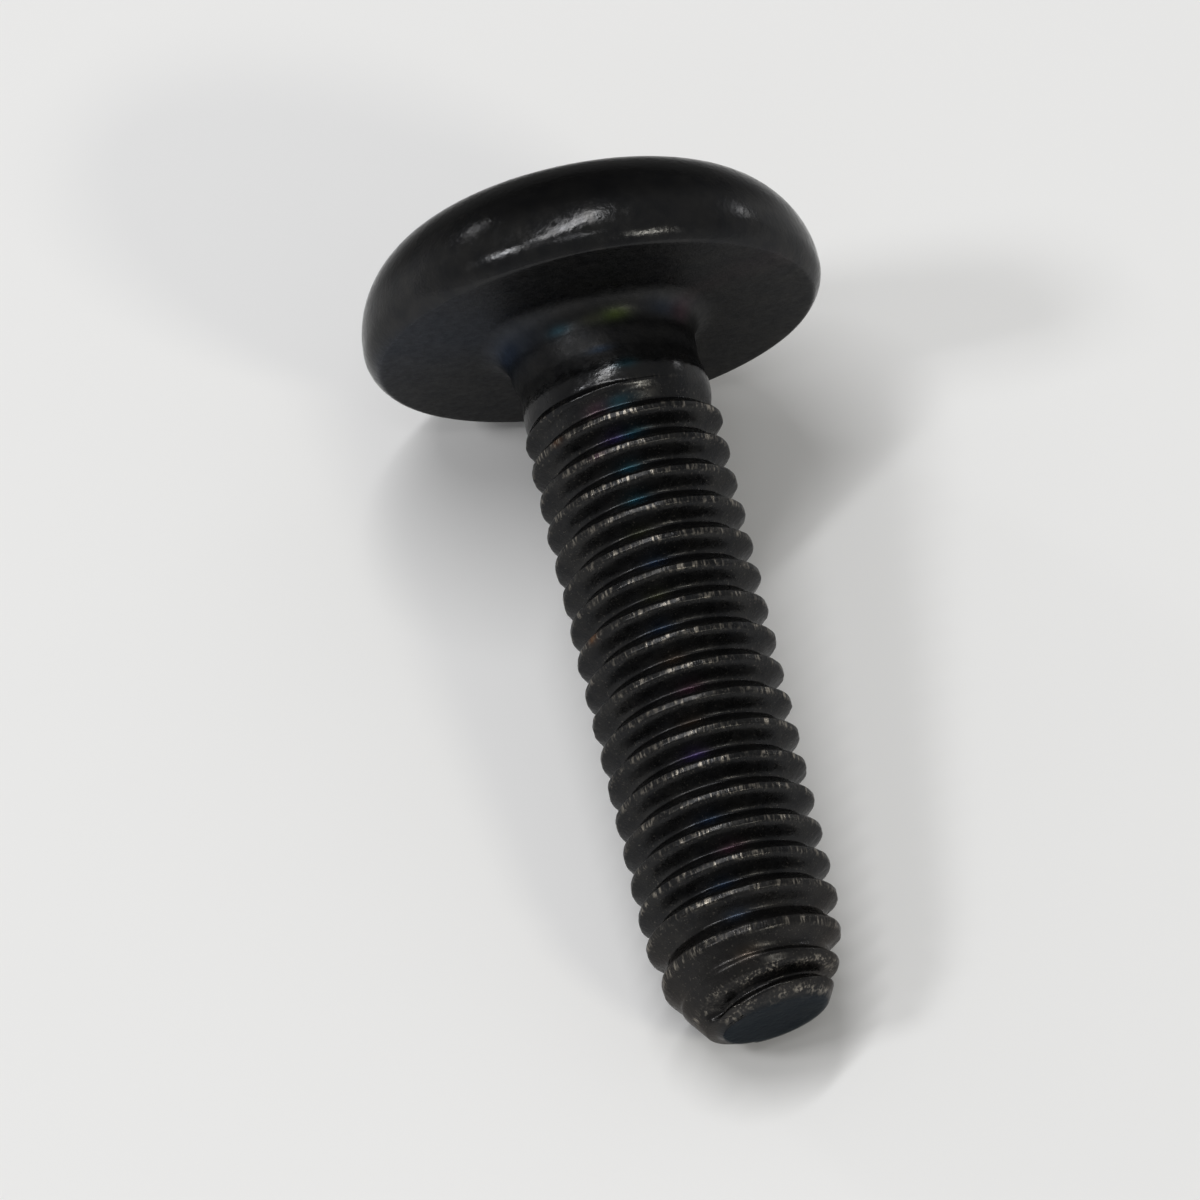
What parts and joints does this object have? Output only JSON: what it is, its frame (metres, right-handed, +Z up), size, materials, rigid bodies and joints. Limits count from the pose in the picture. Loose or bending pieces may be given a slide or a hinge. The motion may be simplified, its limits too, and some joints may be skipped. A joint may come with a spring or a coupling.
{
  "type": "machine screw",
  "caption": "Truss-head machine screw with a cross recess and a coarse metric thread, in blackened steel, lying on its side.",
  "frame": {"origin": "middle of the bounding box on the surface that the screw lies on", "axes": "+X along the length towards the head, +Z up; the screw's axis rises 11.1 degrees from +X towards the head, and lies in the XZ plane"},
  "size_m": [0.0182, 0.0094, 0.0093],
  "materials": {
    "black_oxide_steel": "thin oiled black oxide on rolled steel, semi-gloss, with bare glints on the thread crests"
  },
  "bodies": {
    "root": {"screw": "black_oxide_steel"}
  },
  "joints": []
}
